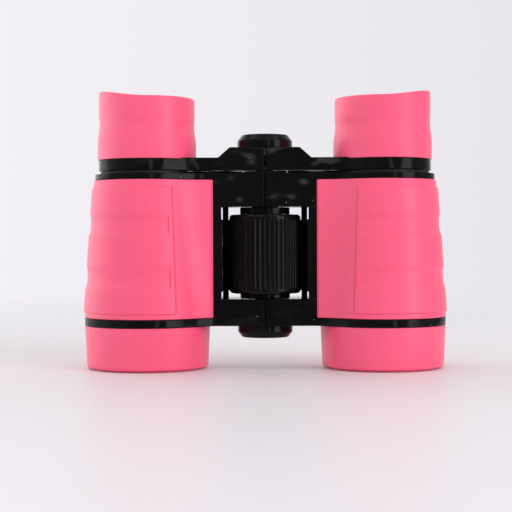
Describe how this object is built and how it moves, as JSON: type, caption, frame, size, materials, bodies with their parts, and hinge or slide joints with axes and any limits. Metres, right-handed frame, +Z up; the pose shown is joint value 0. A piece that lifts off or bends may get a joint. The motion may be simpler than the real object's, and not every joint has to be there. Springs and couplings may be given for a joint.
{
  "type": "toy binoculars",
  "caption": "Folding toy binoculars with soft grips, winged eyecups and a fluted focus wheel between the barrels, standing on the objective rings.",
  "frame": {"origin": "on the table under the hinge axis, midway between the two barrels", "axes": "+X from the hinge to the right barrel, +Y from the front seen in the picture to the back, +Z up the hinge axis to the eyecups"},
  "size_m": [0.112, 0.0392, 0.0849],
  "materials": {
    "pink_rubber": "soft matte pink",
    "black_gloss": "moulded gloss black",
    "black_matte": "matte black",
    "lens": "polished clear lens",
    "steel": "bare screw steel"
  },
  "bodies": {
    "left_half": {"left_body": "black_gloss", "left_grip": "pink_rubber", "left_objective_ring": "pink_rubber", "left_objective_lens": "lens", "left_objective_retainer": "black_matte", "upper_hinge_bush": "black_gloss", "lower_hinge_pin": "black_gloss", "bottom_cap": "black_gloss"},
    "right_half": {"right_body": "black_gloss", "right_grip": "pink_rubber", "right_objective_ring": "pink_rubber", "right_objective_lens": "lens", "right_objective_retainer": "black_matte"},
    "focus_wheel": {"focus_wheel": "black_gloss"},
    "left_eyepiece": {"left_eyepiece_arm": "black_gloss", "left_ocular_lens": "lens", "left_ocular_retainer": "black_matte", "left_eyecup": "pink_rubber", "focus_screw": "steel", "top_cap": "black_gloss"},
    "right_eyepiece": {"right_eyepiece_arm": "black_gloss", "right_ocular_lens": "lens", "right_ocular_retainer": "black_matte", "right_eyecup": "pink_rubber"}
  },
  "joints": [
    {"name": "fold", "type": "hinge", "parent": "left_half", "child": "right_half", "pos_m": [0, 0, 0.035], "axis": [0, 0, 1], "range_deg": [0, 70]},
    {"name": "focus", "type": "slide", "parent": "left_half", "child": "left_eyepiece", "axis": [0, 0, 1], "range_m": [0, 0.005]},
    {"name": "focus_turn", "type": "hinge", "parent": "left_half", "child": "focus_wheel", "pos_m": [0, 0, 0.035], "axis": [0, 0, -1], "range_deg": [0, 360]},
    {"name": "bridge_fold", "type": "hinge", "parent": "left_eyepiece", "child": "right_eyepiece", "pos_m": [0, 0, 0.064], "axis": [0, 0, 1], "range_deg": [0, 70]}
  ],
  "couplings": [
    {"joint": "focus_turn", "follows": "focus", "rad_per_m": 1256.6},
    {"joint": "bridge_fold", "follows": "fold", "ratio": 1}
  ]
}
